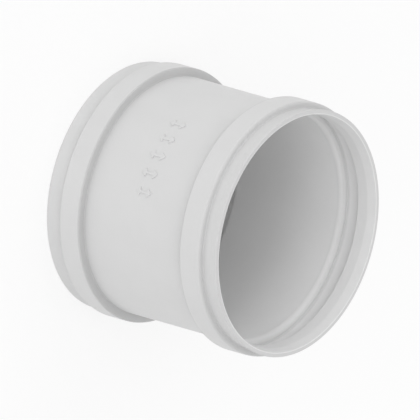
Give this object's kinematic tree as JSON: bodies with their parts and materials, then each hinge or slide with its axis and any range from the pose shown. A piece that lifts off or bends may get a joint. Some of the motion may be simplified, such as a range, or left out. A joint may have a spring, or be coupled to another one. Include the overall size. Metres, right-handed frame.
{
  "type": "slip coupling",
  "caption": "Moulded plastic slip coupling for drain pipe: a short sleeve with a flared lip and a ring-seat bead at each end and a straight stop-free bore.",
  "frame": {"origin": "middle of the lower end face, on the coupling's axis, where the coupling stands on its end", "axes": "+Z along the axis, from the end face that it stands on to the other end; the coupling is round, so X and Y are free"},
  "size_m": [0.1238, 0.1238, 0.1044],
  "materials": {
    "plastic": "moulded, satin light grey"
  },
  "bodies": {
    "root": {"coupling_body": "plastic"}
  },
  "joints": []
}
